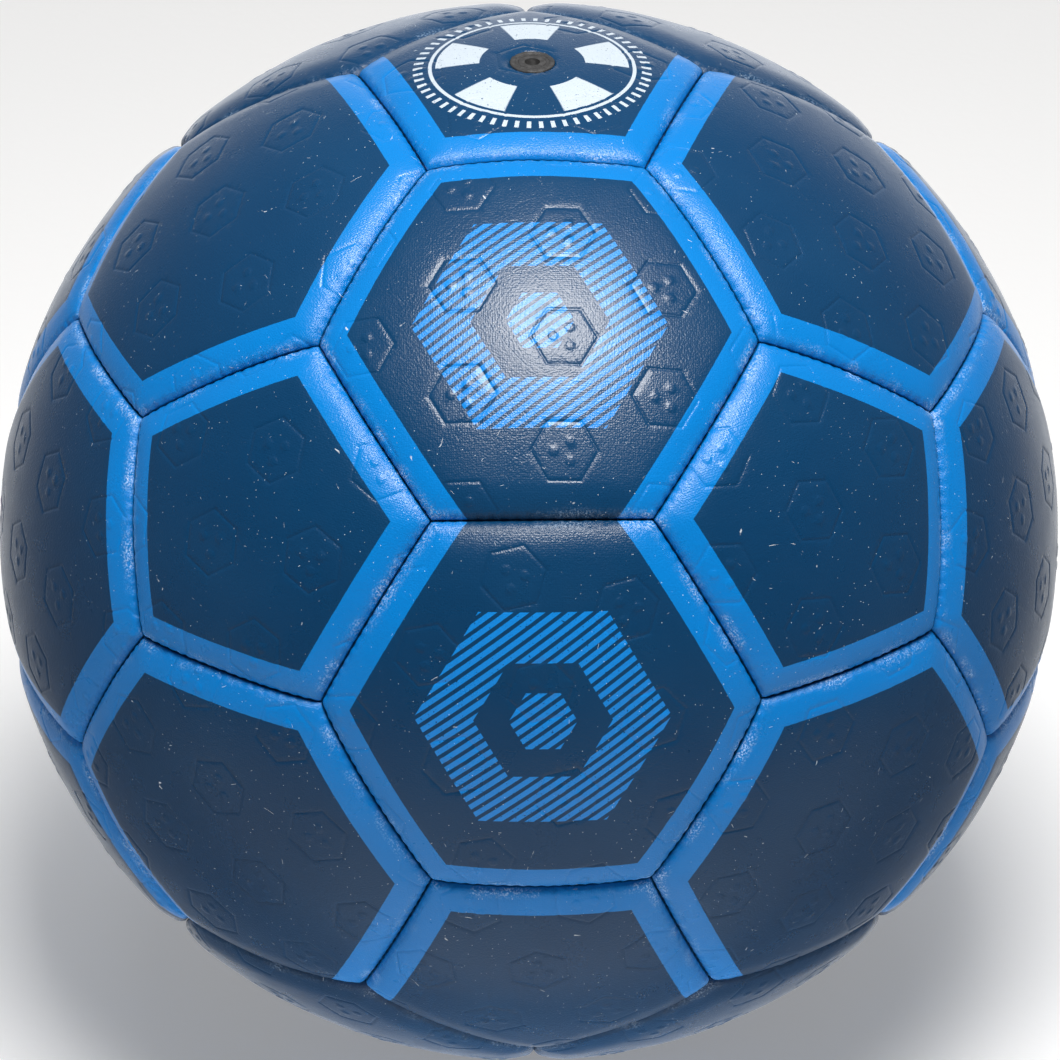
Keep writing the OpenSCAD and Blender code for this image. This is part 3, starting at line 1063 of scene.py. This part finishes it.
def area_light(context, name, towards, distance, size, power, tint=(1, 1, 1), glossy=True):
    """A square softbox that shines at the ball from a direction in the photograph's axes."""
    data = bpy.data.lights.new(name, "AREA")
    data.size = size
    data.energy = power
    data.color = tint
    lamp = bpy.data.objects.new(name, data)
    back = (PHOTO_AXES @ Vector(towards)).normalized()
    lamp.location = back * distance
    lamp.rotation_euler = back.to_track_quat("Z", "Y").to_euler()
    lamp.visible_glossy = glossy
    lamp.visible_camera = False
    context.scene.collection.objects.link(lamp)
    return lamp


def make_lights(context):
    """A soft box high in front, wide fill from above and from the left, and light from the floor."""
    area_light(context, "overhead_softbox", (0.053, 0.639, 0.767), distance=0.7, size=0.31, power=6.2,
               tint=(1.0, 0.975, 0.945))
    area_light(context, "ceiling_panel", (0.0, 0.85, 0.53), distance=1.0, size=0.8, power=2.3,
               glossy=False)
    area_light(context, "left_fill", (-0.9, -0.05, 0.35), distance=1.0, size=0.3, power=0.4,
               glossy=False)
    for name, shape, place, wide, deep, power, mirrored in FLOOR_LIGHTS:
        glow = area_light(context, name, DOWN, FLOOR_DISTANCE, wide, power, glossy=mirrored)
        glow.data.shape = shape
        glow.data.size_y = deep
        glow.location.y = place
        glow.visible_diffuse = not mirrored


def make_studio(context):
    """A studio round the ball that is bright behind it and dark on the camera's side."""
    world = context.scene.world or bpy.data.worlds.new("studio")
    context.scene.world = world
    world.use_nodes = True
    studio = Wiring(world.node_tree)
    sides = {0: studio.node("ShaderNodeTexCoord").outputs["Generated"], 1: BEHIND}
    behind = studio.node("ShaderNodeVectorMath", sides, operation="DOT_PRODUCT").outputs["Value"]
    wall = studio.ramp(behind, -0.8, 0.3, *WALL)
    glow = studio.math("POWER", studio.ramp(behind, 0.3, 1.0, kind="LINEAR"), GLOW_POWER)
    strength = studio.math("MULTIPLY_ADD", glow, GLOW, wall)
    light = studio.node("ShaderNodeBackground", {"Color": (0.95, 0.97, 1.0, 1), "Strength": strength})
    studio.node("ShaderNodeOutputWorld", {0: light.outputs[0]})
    context.scene.view_settings.view_transform = "Standard"


def make_camera(context, radius):
    """The photograph's own view of the ball."""
    data = bpy.data.cameras.new("camera")
    camera = bpy.data.objects.new("camera", data)
    context.scene.collection.objects.link(camera)
    turn = Quaternion(CAMERA_TURN, math.radians(CAMERA_TURN.length))
    axes = PHOTO_AXES @ turn.to_matrix().transposed()
    data.sensor_width = 36
    data.lens = PICTURE_RADIUS * math.sqrt(CAMERA_DISTANCE**2 - 1) / PICTURE_SIDE * data.sensor_width
    data.shift_x = PICTURE_SHIFT[0] / PICTURE_SIDE
    data.shift_y = PICTURE_SHIFT[1] / PICTURE_SIDE
    data.clip_start = 0.05
    data.clip_end = 20
    camera.matrix_world = Matrix.Translation(axes.col[2] * CAMERA_DISTANCE * radius) @ axes.to_4x4()
    context.scene.camera = camera


class HANDBALL_PT_panel(bpy.types.Panel):
    """Sizes, colours and pieces of the handball"""

    bl_idname = "HANDBALL_PT_panel"
    bl_label = "Handball"
    bl_space_type = "VIEW_3D"
    bl_region_type = "UI"
    bl_category = "Handball"

    def draw(self, context):
        for settings in (context.scene.handball_sizes, context.scene.handball_colours):
            box = self.layout.box()
            for key in settings.__annotations__:
                box.prop(settings, key)
        for operator in OPERATORS:
            self.layout.operator(operator.bl_idname)


OPERATORS = (
    HANDBALL_OT_pentagons,
    HANDBALL_OT_hexagons,
    HANDBALL_OT_thread,
    HANDBALL_OT_valve,
    HANDBALL_OT_inside,
    HANDBALL_OT_stage,
)
CLASSES = (HandballSizes, HandballColours, *OPERATORS, HANDBALL_PT_panel)


def register():
    for item in CLASSES:
        bpy.utils.register_class(item)
    bpy.types.Scene.handball_sizes = PointerProperty(type=HandballSizes)
    bpy.types.Scene.handball_colours = PointerProperty(type=HandballColours)


def unregister():
    del bpy.types.Scene.handball_sizes
    del bpy.types.Scene.handball_colours
    for item in reversed(CLASSES):
        bpy.utils.unregister_class(item)


def main():
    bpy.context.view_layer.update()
    register()
    bpy.ops.handball.pentagons()
    bpy.ops.handball.hexagons()
    bpy.ops.handball.thread()
    bpy.ops.handball.valve()
    bpy.ops.handball.inside()
    bpy.ops.handball.stage()


if __name__ == "__main__":
    main()
